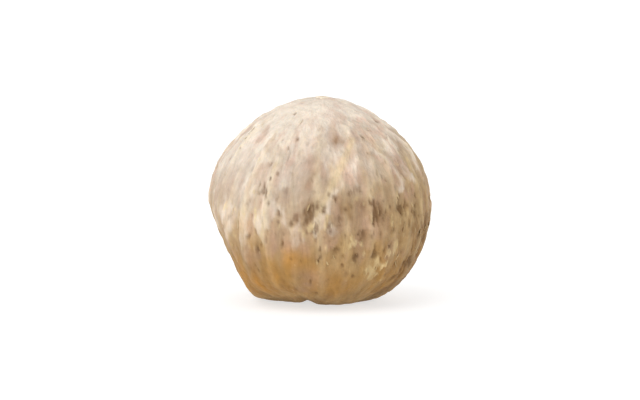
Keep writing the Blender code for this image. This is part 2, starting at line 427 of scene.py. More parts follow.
def noise(points, seed):
    """Gradient noise from about -1 to 1. Each corner of the unit lattice has a random slope, and a point
    blends the heights of the eight slopes round it, on a curve that is level at both ends."""
    cell = np.floor(points).astype(int)
    inside = points - cell
    fade = inside**3 * (inside * (inside * 6 - 15) + 10)
    total = np.zeros(len(points))
    for corner in itertools.product((0, 1), repeat=3):
        pick = np.full(len(points), seed)
        for axis in range(3):
            pick = NOISE_SHUFFLE[(pick + cell[:, axis] + corner[axis]) % NOISE_SIZE]
        height = ((inside - corner) * NOISE_SLOPES[pick]).sum(axis=1)
        total += height * np.where(corner, fade, 1 - fade).prod(axis=1)
    return total * NOISE_GAIN


def layered(points, seed, layers):
    """Noise summed in layers, each twice as fine as the last and half as strong."""
    return sum(noise(points * 2**i, seed + LAYER_SEED_STEP * i) / 2**i for i in range(layers))


class Globe:
    """A closed grid of meridians and parallels on a ball, evenly spaced, with one point at each pole and +Z
    through the first. Each point's way is the unit vector at its longitude and colatitude."""

    def __init__(self, meridians, parallels):
        rings = np.arange(1, parallels) * 180 / parallels
        line = np.arange(meridians)
        self.longitude = np.concatenate([[0.0], np.tile(line * 360 / meridians, len(rings)), [0.0]])
        self.colatitude = np.concatenate([[0.0], np.repeat(rings, meridians), [180.0]])
        across, down = np.radians(self.longitude), np.radians(self.colatitude)
        self.sine = np.sin(down)
        self.ways = np.column_stack([self.sine * np.cos(across), self.sine * np.sin(across), np.cos(down)])
        self.from_pole = np.minimum(self.colatitude, 180 - self.colatitude)

        after = (line + 1) % meridians
        start = 1 + np.arange(len(rings) - 1)[:, None] * meridians
        below = start + meridians
        corners = [start + line, below + line, below + after, start + after]
        self.quads = np.stack(corners, axis=-1).reshape(-1, 4)
        last = len(self.ways) - 1
        ring = last - meridians
        top = np.column_stack([np.zeros_like(line), 1 + line, 1 + after])
        bottom = np.column_stack([np.full_like(line, last), ring + after, ring + line])
        self.triangles = np.concatenate([top, bottom])

    def faces(self, copies=1):
        """The faces of this many copies of the grid, whose points follow each other."""
        starts = np.arange(copies)[:, None, None] * len(self.ways)
        quads = (self.quads + starts).reshape(-1, 4)
        triangles = (self.triangles + starts).reshape(-1, 3)
        return quads.tolist() + triangles.tolist()

    def fibre_space(self, radius, across, along, seed):
        """Points whose noise runs in streaks from pole to pole: a cylinder round the axis, one unit to a
        streak. A power of the sine draws its ends in, and it is twisted to and fro so that the streaks
        wander."""
        long_bends, short_bends = (noise(self.ways * STREAK_BENDS[i], seed + 3 * i) for i in (0, 1))
        drift = STREAK_WANDER * long_bends + SHORT_BEND_SHARE * STREAK_WANDER * short_bends
        turned = np.radians(self.longitude + drift / np.maximum(self.sine, LEAST_SINE))
        reach = self.sine**CROWDING * radius / across
        down = np.radians(self.colatitude) * radius / along
        return np.column_stack([reach * np.cos(turned), reach * np.sin(turned), down])


def rest_turn():
    """Turns the seed's own frame, with the apex at +Z, to the pose that it rests in."""
    lean_front = Matrix.Rotation(math.radians(AXIS_LEAN_FRONT), 3, "X")
    lean_right = Matrix.Rotation(math.radians(AXIS_LEAN_RIGHT), 3, "Y")
    return np.array(lean_right @ lean_front)


def in_seed_frame(azimuth, elevation):
    """The unit vector at these angles, turned back from the resting pose to the seed's own frame."""
    return way_of(azimuth, elevation) @ rest_turn()


def rib_longitudes(globe):
    """Each rib's longitude at each point's colatitude: even steps, pushed to and fro, with a slow wave."""
    rib = np.arange(RIB_COUNT)
    strayed = 360 / RIB_COUNT * (rib + RIB_UNEVENNESS * np.sin(rib * RIB_STRAY_PHASE))
    return strayed + RIB_WAVE * np.sin(np.radians(2 * globe.colatitude)[:, None] + rib * RIB_WAVE_PHASE)


def dent_relief(globe):
    """The dents as a share: bumps of the angle from centres on a spiral that covers the ball evenly."""
    total = np.zeros(len(globe.ways))
    for dent in range(DENT_COUNT):
        height = 1 - (2 * dent + 1) / DENT_COUNT
        out = math.sqrt(1 - height**2)
        turn = dent * GOLDEN_ANGLE
        centre = np.array([out * math.cos(turn), out * math.sin(turn), height])
        width = DENT_WIDTH * (1 + DENT_WIDTH_RANGE * math.sin(dent * DENT_WIDTH_PHASE))
        depth = DENT_DEPTH * (1 + DENT_DEPTH_RANGE * math.sin(dent * DENT_DEPTH_PHASE))
        total -= depth * bump(angle_between(globe.ways, centre), width)
    return total


def base_hollows(globe):
    """The deeper of two hollows, as a share: the scar round the base, and the crease across its longitude,
    which dies out with a bump of the angle from the base."""
    from_base = 180 - globe.colatitude
    across = degrees_apart(globe.longitude, CREASE_LONGITUDE) * globe.sine
    crease = CREASE_DEPTH * hollow(across, CREASE_REACH) * bump(from_base, CREASE_LENGTH)
    return np.maximum(SCAR_DEPTH * hollow(from_base, SCAR_REACH), crease)


def apex_relief(globe):
    """The nub less its dimple and the drop of the shoulders, each a bump of the angle from the apex, as a
    share."""
    shoulder = SHOULDER_DROP * bump(globe.colatitude - SHOULDER_ANGLE, SHOULDER_WIDTH)
    dimple = DIMPLE_DEPTH * bump(globe.colatitude, DIMPLE_WIDTH)
    return NUB_RISE * bump(globe.colatitude, NUB_WIDTH) - dimple - shoulder


def trimmed(radii, globe, radius, flat):
    """The radii with a flat taken off: a way that meets the flat's plane before the surface stops there."""
    azimuth, elevation, depth, blend = flat
    towards = np.maximum(globe.ways @ in_seed_frame(azimuth, elevation), LEAST_TOWARDS)
    return smooth_lower(radii, radius * depth / towards, radius * blend)


def seed_radii(globe, radius, relief):
    """How far the surface lies from the centre along each way: the solid's form with the relief added."""
    lobe = LOBE_RISE * bump(angle_between(globe.ways, in_seed_frame(*LOBE_WAY)), LOBE_WIDTH)
    radii = radius * (1 + dent_relief(globe) + lobe + apex_relief(globe))
    for flat in SIDE_FLATS:
        radii = trimmed(radii, globe, radius, flat)
    radii = trimmed(radii + relief, globe, radius, SEAT_FLAT)
    return radii - radius * base_hollows(globe)


def arc_distance(ways, start, end):
    """Degrees from each way to the arc between two ways: the root of the squares of its angle off the arc's
    plane and its angle past the arc's nearer end."""
    pole = np.cross(start, end)
    pole /= np.linalg.norm(pole)
    across = np.arcsin(np.clip(ways @ pole, -1, 1))
    along = np.arctan2(ways @ np.cross(pole, start), ways @ start)
    past = along - np.clip(along, 0, math.acos(np.clip(start @ end, -1, 1)))
    return np.degrees(np.hypot(across, past))


def ridge_along(globe, radius, longitudes, half_width):
    """A rounded ridge along each line of longitude: a bump of the distance across to the nearest line."""
    nearest = np.abs(degrees_apart(globe.longitude[:, None], longitudes)).min(axis=1)
    return bump(np.radians(nearest) * globe.sine * radius, half_width)


def up_and_side(middles):
    """The ways up the meridian and across it at each of these ways, in the seed's own frame."""
    ups = np.array([0.0, 0.0, 1.0]) - middles[..., 2:] * middles
    ups /= np.linalg.norm(ups, axis=-1, keepdims=True)
    return ups, np.cross(ups, middles)


def ovals(globe, places, ragged):
    """How far inside an oval each point lies: a hollow of its distance from the middle in half widths and
    half lengths, times the strength. Each place is (middle, half width, half length, strength), with its
    length up the meridian. The ragged numbers stretch the distance, so that rims are uneven. The strongest
    wins."""
    total = np.zeros(len(globe.ways))
    for middle, half_width, half_length, strength in places:
        up, side = up_and_side(middle)
        reach = math.radians(2 * max(half_width, half_length))
        near = np.flatnonzero(globe.ways @ middle > math.cos(reach))
        across = np.degrees(globe.ways[near] @ side) / half_width
        along = np.degrees(globe.ways[near] @ up) / half_length
        total[near] = np.maximum(total[near], strength * hollow(np.hypot(across, along) * ragged[near], 1))
    return total


def belt(rest_ways):
    """How much each way lies in the worn belt: a bump of its height, times a rise towards the worn side."""
    round_it = bump(rest_ways[..., 2] - BELT_HEIGHT, BELT_WIDTH)
    return round_it * smooth_step(rest_ways @ way_of(*WORN_WAY), *WORN_SIDE)


def nearness(ways, places, ragged=1):
    """The strongest of some round marks at each way, each its strength times a bump of the angle from it.
    The ragged numbers stretch that angle, so that rims are uneven."""
    marks = [
        strength * bump(angle_between(ways, in_seed_frame(azimuth, elevation)) * ragged, reach)
        for azimuth, elevation, reach, strength in places
    ]
    return np.max(marks, axis=0)


def swung(noises, middle, swing, least):
    """A share that swings round its middle with a noise, and is cut off at its least and at 1."""
    return np.clip(middle + swing * noises, least, 1)


def risen(value, name):
    """How far a value has risen between the two edges of this name, on an S curve from 0 to 1."""
    return smooth_step(value, *EDGES[name])


def pit_chance(way):
    """Pits lie thickest in the worn belt, with a few everywhere."""
    return PIT_LEAST_CHANCE + (1 - PIT_LEAST_CHANCE) * belt(way @ rest_turn().T)


def flake_chance(way):
    """Flakes cling where shreds of pulp are left, and a few elsewhere in the belt, but not low down."""
    rest_way = way @ rest_turn().T
    here = nearness(way[None, :], SHREDS)[0]
    return (rest_way[2] > FLAKE_LOWEST) * (FLAKE_LEAST_CHANCE + FLAKE_BELT_CHANCE * belt(rest_way) + here)


def strewn_ways(count, random, chance):
    """Ways strewn at random over the ball, each kept with the chance that holds there."""
    ways = []
    while len(ways) < count:
        way = random.normal(size=3)
        way /= np.linalg.norm(way)
        if random.random() < chance(way):
            ways.append(way)
    return np.array(ways)


def strewn_pits(count):
    """Pits as places for ovals. Small ones are the commonest, and some are drawn out up the meridian."""
    random = np.random.default_rng(PIT_SEED)
    middles = strewn_ways(count, random, pit_chance)
    half_widths = between(PIT_HALF_WIDTHS, random.random(count) ** PIT_SMALLNESS)
    half_lengths = half_widths * between((1, PIT_STRETCH), random.random(count))
    strengths = between(PIT_STRENGTHS, random.random(count))
    return zip(middles, half_widths, half_lengths, strengths)


class Skin:
    """What lies on the seed's form: a height in metres at each point, and masks from 0 to 1 for its
    finish."""

    def __init__(self, globe, form):
        self.globe = globe
        self.radius = form.diameter / 2
        self.rest_ways = globe.ways @ rest_turn().T
        self.height = np.zeros(len(globe.ways))
        self.masks = {}
        self.rims = 1 + MARK_RAGGEDNESS * self.lumps("rims")
        self.set_tone()
        self.add_fibres(form)
        self.add_pulp(form)
        self.add_ribs(form)
        self.add_mosaic(form)
        self.add_pits(form)
        self.add_stains()
        self.height += form.wrinkle_height * self.lumps("wrinkles")

    def lumps(self, name):
        """Noise in round lumps: that at the ball's points, one unit to a lump."""
        size, seed, layers = LUMPS[name]
        return layered(self.globe.ways * self.radius / (size * MM), seed, layers)

    def streaks(self, name):
        """Noise drawn out from pole to pole. The streaks shorten into round lumps towards the poles, where
        they would crowd together like spokes."""
        across, along, seed, layers = STREAKS[name]
        across, along = across * MM, along * MM
        drawn = layered(self.globe.fibre_space(self.radius, across, along, seed), seed + 2, layers)
        lumps = layered(self.globe.ways * self.radius / (LUMP_STRETCH * across), seed + 4, layers)
        share = smooth_step(self.globe.from_pole, *STREAK_FADE)
        return share * drawn + (1 - share) * lumps

    def near(self, places):
        """The strongest of some round marks, each with a ragged edge."""
        return nearness(self.globe.ways, places, self.rims)

    def set_tone(self):
        """How pale the skin is: it rises with the cosine to the pale way, shifted by broad drifts."""
        self.broad = self.lumps("broad")
        # The pale side faces the key light, so this paints light and shade in part, on top of the skin's own
        # paler colour
        towards = self.rest_ways @ way_of(*PALE_AND_PAINTED_LIGHT_WAY)
        self.masks["pale"] = smooth_step(towards + TONE_DRIFT * self.broad, *PALE_EDGE)

    def add_fibres(self, form):
        """Fine threads and broader strands from base to apex, dying out where they meet at the poles. The
        skin turns rosy and straw yellow in streaks of their own."""
        self.calm = 1 - self.near(SMOOTH_PATCHES)
        self.threads = self.calm * self.streaks("threads")
        self.strands = self.calm * self.streaks("strands")
        fade = np.minimum(self.globe.sine * FIBRE_POLE_FADE, 1)
        streak = (STREAK_MIX[0] * self.threads + STREAK_MIX[1] * self.strands) * fade
        self.masks["streak"] = swung(streak, 0.5, 1, 0)
        tint = self.calm * self.streaks("tint") + TINT_TONE[1] * (TINT_TONE[0] - self.masks["pale"])
        tint -= TINT_ROSE * self.near(ROSE_PATCHES)
        self.masks["rose"] = risen(-tint, "tint")
        self.masks["straw"] = risen(tint, "tint")
        self.height += form.fibre_height * (THREAD_SHARE * self.threads + self.strands) * fade

    def add_pulp(self, form):
        """Thin patches of pulp with torn, fibrous edges: thickest where the skin is pale, rubbed off where
        bare. A few thick patches at the upper left paint highlights, and bare ones on the right rim paint
        shade."""
        cover = self.calm * self.streaks("pulp") + PULP_THREADS * self.threads
        cover += PULP_TONE[1] * (self.masks["pale"] - PULP_TONE[0])
        cover += PULP_LEFT * self.near(PULP_AND_HIGHLIGHT_PATCHES) - PULP_BARE * self.near(BARE_PATCHES_AND_RIM_SHADE)
        self.masks["pulp"] = risen(cover, "pulp")
        self.height += form.pulp_thickness * self.masks["pulp"]

    def add_ribs(self, form):
        """The ribs, a broken lesser rib between each two, and a few stray ones. They fade at the poles."""
        globe = self.globe
        ribs = rib_longitudes(globe)
        middles = ribs + degrees_apart(np.roll(ribs, -1, axis=1), ribs) / 2
        fade = smooth_step(globe.colatitude, *APEX_RIB_FADE)
        fade *= 1 - bump(180 - globe.colatitude, RIB_POLE_FADE)
        fade *= between((LOW_RIB_SHARE, 1), smooth_step(self.rest_ways[:, 2], *LOW_RIB_FADE))
        main = ridge_along(globe, self.radius, ribs, RIB_HALF_WIDTH) * fade
        main *= between((WORN_RIB_SHARE, 1), risen(self.streaks("ribs"), "ribs"))
        lesser = ridge_along(globe, self.radius, middles, LESSER_RIB_HALF_WIDTH) * fade
        lesser *= risen(self.streaks("lesser ribs"), "lesser ribs")
        winding = STRAY_RIB_WINDING * self.lumps("winding")
        stray = np.zeros(len(globe.ways))
        for start, end in STRAY_RIBS:
            apart = arc_distance(globe.ways, in_seed_frame(*start), in_seed_frame(*end)) + winding
            stray = np.maximum(stray, bump(apart, np.degrees(STRAY_RIB_HALF_WIDTH / self.radius)))
        self.masks["rib"] = np.maximum(np.maximum(main, LESSER_RIB_TINT * lesser), stray)
        self.masks["straw"] = np.maximum(self.masks["straw"], stray)
        high = form.rib_height * np.maximum(main, STRAY_RIB_SHARE * stray)
        self.height += np.maximum(high, form.lesser_rib_height * lesser)

    def add_mosaic(self, form):
        """A mosaic in the worn belt: shreds of pulp that still cling, and hollows where it has gone. Both
        come from one short-grained noise, pushed up and down at the chosen places, so their rims are
        torn."""
        worn = BELT_WEAR * belt(self.rest_ways)
        mosaic = self.streaks("mosaic")
        left = mosaic + worn + SHRED_LEFT * self.near(SHREDS) - SHRED_BARE * self.near(BARE_PATCHES_AND_RIM_SHADE)
        gone = -mosaic + worn + HOLLOW_GONE * self.near(HOLLOWS)
        self.masks["shred"] = risen(left, "shreds") * swung(self.threads, *SHRED_SWING)
        self.masks["hollow"] = risen(gone, "hollows")
        self.height += form.shred_height * self.masks["shred"] - form.hollow_depth * self.masks["hollow"]

    def add_pits(self, form):
        """Pinholes and small pits: ovals with uneven rims."""
        ragged = 1 + PIT_RAGGEDNESS * self.lumps("pit rims")
        self.masks["pit"] = ovals(self.globe, strewn_pits(form.pit_count), ragged)
        self.height -= form.pit_depth * self.masks["pit"]

    def add_stains(self):
        """Ochre skin towards the base, which pales again at the very bottom as painted light against the
        shade above the paper, and orange, mauve and brown stains. Ochre and brown marks on the right rim
        paint its shade. The brown ones are blotchy, and the scar is brown all over."""
        low = -self.rest_ways[:, 2]
        ragged = low + TONE_DRIFT * self.broad + OCHRE_RAGGEDNESS * self.lumps("rims")
        ochre = risen(ragged, "ochre") * (1 - BOTTOM_PAINTED_LIGHT * risen(low, "bottom"))
        ochre = np.maximum(ochre, self.near(OCHRE_STAINS_AND_RIM_SHADE))
        self.masks["ochre"] = ochre * swung(self.strands, *OCHRE_SWING)
        self.masks["orange"] = self.near(ORANGE_STAINS) * swung(self.strands, *ORANGE_SWING)
        greyish = MAUVE_MOST * risen(self.streaks("mauve"), "mauve")
        greyish *= (1 - risen(low, "mauve, low")) * (1 - risen(-low, "mauve, high"))
        self.masks["mauve"] = np.maximum(greyish, self.near(MAUVE_STAINS))
        blotchy = between(BLOTCH_RANGE, risen(self.streaks("blotches"), "blotches"))
        base = BASE_BROWN_MOST * risen(self.streaks("base"), "base")
        base *= risen(low, "base, low")
        scar = hollow(180 - self.globe.colatitude, SCAR_STAIN * SCAR_REACH)
        brown = np.max([self.near(BROWN_STAINS_AND_RIM_SHADE) * blotchy, base, scar], axis=0)
        self.masks["brown"] = np.clip(brown, 0, 1)


def button(globe, radius, rise, sink, lobes, lobe_depth):
    """A lobed button: a ball squashed to its rise above and its sink below. Its radius swells with the
    cosine of the longitude times the lobes' count, and with a finer ripple, and its top dips in the
    middle."""
    turn = np.radians(globe.longitude)
    ripple = LOBE_RIPPLE * lobe_depth * np.cos((2 * lobes - 1) * turn)
    lobed = 1 + lobe_depth * np.cos(lobes * turn + LOBE_START) + ripple
    level = np.cos(np.radians(globe.colatitude))
    dip = 1 - BUTTON_DIP[0] * bump(globe.sine, BUTTON_DIP[1])
    crest = 1 - BUTTON_CREST + BUTTON_CREST * lobed
    height = np.where(level > 0, rise * level * dip * crest, sink * level)
    return np.column_stack([radius * lobed[:, None] * globe.ways[:, :2], height])


def flake_points(globe, roots, ways, random):
    """Thin torn flakes, one to each root, each a ball pressed flat on the seed and drawn out along the
    fibres, up or down. Its outline swells with a few cosines of the angle round it, and it lifts off the
    seed with the square of the distance from the end that clings."""
    flakes = len(roots)
    ups, sides = up_and_side(ways)
    turn = FLAKE_TURN * random.uniform(-1, 1, flakes) + 180 * random.integers(0, 2, flakes)
    turn = np.radians(turn)[:, None]
    along_way = np.cos(turn) * ups + np.sin(turn) * sides
    across_way = np.cross(along_way, ways)
    half_length = between(FLAKE_HALF_LENGTHS, random.random(flakes) ** FLAKE_SHORTNESS)[:, None]
    half_width = half_length * between(FLAKE_SLIMNESS, random.random(flakes))[:, None]
    curl = half_length * between(FLAKE_CURL, random.random(flakes))[:, None]

    angle = np.radians(globe.longitude)
    outline = 1 + sum(
        deep * np.cos(waves * angle + FLAKE_TEAR_TURN * random.random((flakes, 1)))
        for waves, deep in FLAKE_TEARS
    )
    outline *= 1 - FLAKE_WAIST + FLAKE_WAIST * np.cos(2 * angle)
    along = half_length * outline * globe.ways[:, 0]
    across = half_width * outline * globe.ways[:, 1]
    level = np.cos(np.radians(globe.colatitude))
    lift = curl * np.maximum(0.5 + 0.5 * globe.ways[:, 0], 0) ** 2
    out = FLAKE_HALF_THICKNESS * np.sign(level) * np.abs(level) ** FLAKE_RIM + lift
    points = roots[:, None] + along[..., None] * along_way[:, None] + across[..., None] * across_way[:, None]
    return (points + out[..., None] * ways[:, None]).reshape(-1, 3)


def add_piece(name, points, faces, layers=None):
    """A mesh object at the origin from arrays of points and faces. Each layer keeps a number or a place at
    each point."""
    mesh = bpy.data.meshes.new(name)
    mesh.from_pydata(points, [], faces)
    mesh.update()
    mesh.shade_smooth()
    for layer, values in (layers or {}).items():
        if np.ndim(values) == 2:
            attribute = mesh.attributes.new(layer, "FLOAT_VECTOR", "POINT")
            attribute.data.foreach_set("vector", values.astype(np.float32).ravel())
        else:
            attribute = mesh.attributes.new(layer, "FLOAT", "POINT")
            attribute.data.foreach_set("value", np.broadcast_to(values, len(points)).astype(np.float32))
    piece = bpy.data.objects.new(name, mesh)
    bpy.context.scene.collection.objects.link(piece)
    return piece


def finish_piece(piece, context):
    """Gives a piece of the seed its material, and sets it on the seed's body in the frame."""
    name = "sun_dried_pepper_pulp"
    material = bpy.data.materials.get(name) or dried_pulp_material(name, context.scene.peppercorn_colours)
    piece.data.materials.append(material)
    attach(piece, "root")


def body_values(name, key="value", size=1):
    """One of the numbers or places kept at the body's points, from the apex to the base."""
    kept = bpy.data.objects["peppercorn_body"].data.attributes[name].data
    values = np.empty((len(kept), size), np.float32)
    kept.foreach_get(key, values.ravel())
    return values


def set_sockets(tree, node, inputs, links):
    """Gives a node's sockets their values and the links into them."""
    for key, value in (inputs or {}).items():
        node.inputs[key].default_value = value
    for key, socket in (links or {}).items():
        tree.links.new(socket, node.inputs[key])


def add_node(tree, kind, place=(0, 0), settings=None, inputs=None, links=None):
    """Adds a node of a kind with its settings, its sockets' values and the links into its sockets."""
    node = tree.nodes.new(kind)
    node.location = place
    for key, value in (settings or {}).items():
        setattr(node, key, value)
    set_sockets(tree, node, inputs, links)
    return node


def new_material(name):
    """A material of one shader, with its node tree and that shader."""
    material = bpy.data.materials.new(name)
    material.use_nodes = True
    return material, material.node_tree, material.node_tree.nodes["Principled BSDF"]


def add_sun(name, strength, spread, comes_from):
    """A lamp with parallel light, softened as if it filled that many degrees of sky."""
    sun = bpy.data.objects.new(name, bpy.data.lights.new(name, "SUN"))
    sun.data.energy = strength
    sun.data.angle = math.radians(spread)
    sun.rotation_euler = Vector(way_of(*comes_from)).to_track_quat("Z", "Y").to_euler()
    bpy.context.scene.collection.objects.link(sun)


def add_light_tent(strength):
    """Even light from all round, which the camera sees at a strength of its own."""
    world = bpy.data.worlds.new("light_tent")
    bpy.context.scene.world = world
    world.use_nodes = True
    tree = world.node_tree
    tree.nodes.clear()
    skies = {0: add_node(tree, "ShaderNodeLightPath").outputs["Is Camera Ray"]}
    for socket, glow in ((1, strength), (2, BACKDROP_STRENGTH)):
        inputs = {"Color": WHITE, "Strength": glow}
        skies[socket] = add_node(tree, "ShaderNodeBackground", inputs=inputs).outputs[0]
    mix = add_node(tree, "ShaderNodeMixShader", links=skies)
    add_node(tree, "ShaderNodeOutputWorld", links={"Surface": mix.outputs[0]})


def add_camera(stage):
    """A camera in front of the seed, so far off that its lens takes in the frame's width there."""
    camera = bpy.data.objects.new("camera", bpy.data.cameras.new("camera"))
    camera.data.lens = stage.camera_lens
    camera.data.clip_start = 1 * MM
    camera.data.clip_end = 2 * FLOOR_SIZE
    bpy.context.scene.collection.objects.link(camera)
    target = (Vector(CAD_BOX[0]) + Vector(CAD_BOX[1])) / 2 - Vector((0, 0, LOOK_BELOW))
    distance = stage.frame_width * stage.camera_lens / camera.data.sensor_width
    back = Vector(way_of(CAMERA_AZIMUTH, math.degrees(stage.camera_elevation)))
    camera.location = target + back * distance
    camera.rotation_euler = back.to_track_quat("Z", "Y").to_euler()
    bpy.context.scene.camera = camera


def coat_colour(tree, masks, colours):
    """The skin's tone by how pale it is, with the layers of colour over it as far as their masks reach."""
    tone = add_node(tree, "ShaderNodeValToRGB", (-1200, 300), links={"Fac": masks["pale"]})
    stops = tone.color_ramp.elements
    stops[0].color, stops[1].color = colours.worn, colours.apex
    for middle, pale in MIDDLE_TONES:
        stops.new(pale).color = getattr(colours, middle)
    coat = tone.outputs["Color"]
    for step, (layer, most) in enumerate(COAT_LAYERS.items()):
        left = 220 * step - 900
        share = add_node(tree, "ShaderNodeMath", (left, 0), TIMES, {1: most}, {0: masks[layer]})
        over = {MIX_COLOURS[1]: getattr(colours, layer)}
        under = {0: share.outputs[0], MIX_COLOURS[0]: coat}
        mix = add_node(tree, "ShaderNodeMix", (left, 300), OF_COLOURS, over, under)
        coat = mix.outputs[MIX_COLOUR_OUT]
    return coat


def fine_patterns(tree):
    """The mottle, the fine fibres and the grain: noise at their sizes, drawn out for the fibres."""
    body = add_node(tree, "ShaderNodeTexCoord", (700, 800)).outputs["Object"]
    fibres = add_node(tree, "ShaderNodeAttribute", (700, 550), {"attribute_name": "fibres"}).outputs["Vector"]
    patterns = (
        ("mottle", body, 1 / MOTTLE_SIZE, 4.0),
        ("fibres", fibres, 1.0, 2.0),
        ("grain", body, 1 / GRAIN_SIZE, 3.0),
    )
    drawn = {}
    for row, (pattern, space, scale, detail) in enumerate(patterns):
        place = (1000, 800 - 250 * row)
        sizes = {"Scale": scale, "Detail": detail}
        node = add_node(tree, "ShaderNodeTexNoise", place, None, sizes, {"Vector": space})
        drawn[pattern] = node.outputs["Fac"]
    return drawn


def dried_pulp_material(name, colours):
    """Pepper pulp soaked, rubbed off and dried in the sun. The eye gets a chalky skin that hardly shines,
    pale where pulp is left, tan and a little waxier where it is worn down to the seed coat."""
    # Part of the coat's colour is painted light and shade: paler towards the upper left, a few highlights
    # there, and shade on the right rim
    material, tree, shader = new_material(name)
    masks = {}
    for row, layer in enumerate(["pale", "streak", *COAT_LAYERS]):
        place = (-1500, 300 - 200 * row)
        mask = add_node(tree, "ShaderNodeAttribute", place, {"attribute_name": layer})
        masks[layer] = mask.outputs["Fac"]
    coat = coat_colour(tree, masks, colours)
    masks |= fine_patterns(tree)

    ranges = (
        ("mottle", NOISE_REACH, MOTTLE_RANGE),
        ("streak", (0, 1), STREAK_RANGE),
        ("fibres", NOISE_REACH, FINE_FIBRE_RANGE),
        ("pulp", (0, 1), (WORN_ROUGHNESS, PULP_ROUGHNESS)),
    )
    ranged = []
    for row, (pattern, reach, limits) in enumerate(ranges):
        place = (1250, 800 - 250 * row)
        ends = dict(zip(("From Min", "From Max", "To Min", "To Max"), reach + limits))
        node = add_node(tree, "ShaderNodeMapRange", place, None, ends, {"Value": masks[pattern]})
        ranged.append(node.outputs[0])
    mottle, streak, fibre, dull = ranged
    both = add_node(tree, "ShaderNodeMath", (1500, 800), TIMES, links={0: mottle, 1: streak})
    light = add_node(tree, "ShaderNodeMath", (1500, 550), TIMES, links={0: both.outputs[0], 1: fibre})
    lit = {"Value": light.outputs[0], "Color": coat}
    shaded = add_node(tree, "ShaderNodeHueSaturation", (1750, 550), links=lit)

    raised = {0: masks["fibres"], 2: masks["grain"]}
    relief = add_node(tree, "ShaderNodeMath", (1500, -100), PLUS, {1: FINE_FIBRE_SHARE}, raised)
    depth = {"Strength": 1.0, "Distance": GRAIN_HEIGHT}
    bumps = add_node(tree, "ShaderNodeBump", (1750, -100), None, depth, {"Height": relief.outputs[0]})
    shader.location = (2000, 300)
    tree.nodes["Material Output"].location = (2400, 300)
    skin = {"Base Color": shaded.outputs["Color"], "Normal": bumps.outputs["Normal"], "Roughness": dull}
    set_sockets(tree, shader, PULP_FINISH, skin)
    return material


def matt_paper_material(name, colours):
    """Thick matt paper, lit from below by a light table. The eye gets plain white with a thin grey shadow,
    while the seed gets the light that bare paper would throw on it."""
    material, tree, shader = new_material(name)
    seen = add_node(tree, "ShaderNodeLightPath", (-500, 0)).outputs["Is Camera Ray"]
    shades = dict(zip(MIX_COLOURS, (colours.paper, colours.shaded_paper)))
    shade = add_node(tree, "ShaderNodeMix", (-250, 100), OF_COLOURS, shades, {0: seen})
    glows = dict(zip(MIX_NUMBERS, (FLOOR_LIGHT, FLOOR_GLOW)))
    glow = add_node(tree, "ShaderNodeMix", (-250, -200), None, glows, {0: seen})
    links = {"Base Color": shade.outputs[MIX_COLOUR_OUT], "Emission Strength": glow.outputs[0]}
    set_sockets(tree, shader, {"Roughness": PAPER_ROUGHNESS, "Emission Color": WHITE}, links)
    return material


def length(name, description, millimetres):
    """A property that holds a length in metres, with its default in millimetres."""
    more = {"default": millimetres * MM, "min": 0.0, "precision": 6, "unit": "LENGTH", "subtype": "DISTANCE"}
    return bpy.props.FloatProperty(name=name, description=description, **more)


def colour(name, description, hex_colour):
    """A property that holds a colour."""
    more = {"default": linear(hex_colour), "size": 4, "min": 0.0, "max": 1.0, "subtype": "COLOR"}
    return bpy.props.FloatVectorProperty(name=name, description=description, **more)


def count(name, description, default):
    """A property that holds a number of things."""
    return bpy.props.IntProperty(name=name, description=description, default=default, min=0)


def strength(name, description, default):
    """A property that holds the strength of a light."""
    return bpy.props.FloatProperty(name=name, description=description, default=default, min=0.0)


class PeppercornForm(bpy.types.PropertyGroup):
    diameter: length("Diameter", "Across the seed where it is widest", 4.5)
    rib_height: length("Rib height", "How high the ribs stand from base to apex", 0.036)
    lesser_rib_height: length("Lesser rib height", "How high the broken ribs between them stand", 0.022)
    pulp_thickness: length("Pulp thickness", "How thick the pulp is that the washing left", 0.022)
    fibre_height: length("Fibre height", "How far the fibres from base to apex stand out", 0.014)
    wrinkle_height: length("Wrinkle height", "How deep the skin wrinkled as it dried", 0.014)
    shred_height: length("Shred height", "How high the shreds of pulp in the worn belt stand", 0.022)
    hollow_depth: length("Hollow depth", "How deep the hollows in the worn belt are", 0.040)
    pit_depth: length("Pit depth", "How deep the deepest pits are", 0.045)
    pit_count: count("Pits", "How many small pits are strewn over the seed", 150)
    flake_count: count("Flakes", "How many loose flakes of pulp cling to the seed", 64)


class PeppercornColours(bpy.types.PropertyGroup):
    # The tones from the apex to the worn side paint light from the upper left in part: the apex tone a lit
    # side, the darker ones shade
    apex: colour("Apex", "The washed skin round the apex", "#d9cbbb")
    flank: colour("Flank", "The skin half way down", "#b69c7c")
    belly: colour("Belly", "The skin where the seed is widest", "#b09269")
    worn: colour("Worn side", "The skin on the worn side", "#b99b70")
    rose: colour("Rose streak", "Streaks where the skin turns rosy", "#cda692")
    straw: colour("Straw streak", "Streaks where the skin turns straw yellow", "#d6bd8f")
    # Pulp also paints a few highlights at the upper left, and ochre and brown paint the shade along the right
    # rim
    pulp: colour("Pulp", "Dry pulp where it is thickest", "#f0e4d4")
    ochre: colour("Base", "The ochre skin towards the base", "#a1783c")
    mauve: colour("Mauve stain", "Greyish patches where the pulp has gone", "#ad8e78")
    brown: colour("Brown stain", "Darker patches in the worn belt", "#87653e")
    orange: colour("Orange stain", "Stains beside the crease", "#bb832f")
    rib: colour("Rib", "The straw-coloured crests of the ribs", "#e2cea6")
    shred: colour("Shred", "The shreds of pulp in the worn belt", "#e0c999")
    hollow: colour("Hollow", "The brown seed coat in the hollows of the worn belt", "#6a4b2b")
    pit: colour("Pit", "The floor of the pits", "#6b4d32")
    paper: colour("Paper", "The paper that the seed lies on, as it lights the seed", "#fafafa")
    shaded_paper: colour("Shaded paper", "The same paper as it looks on the light table", "#b0b0b0")


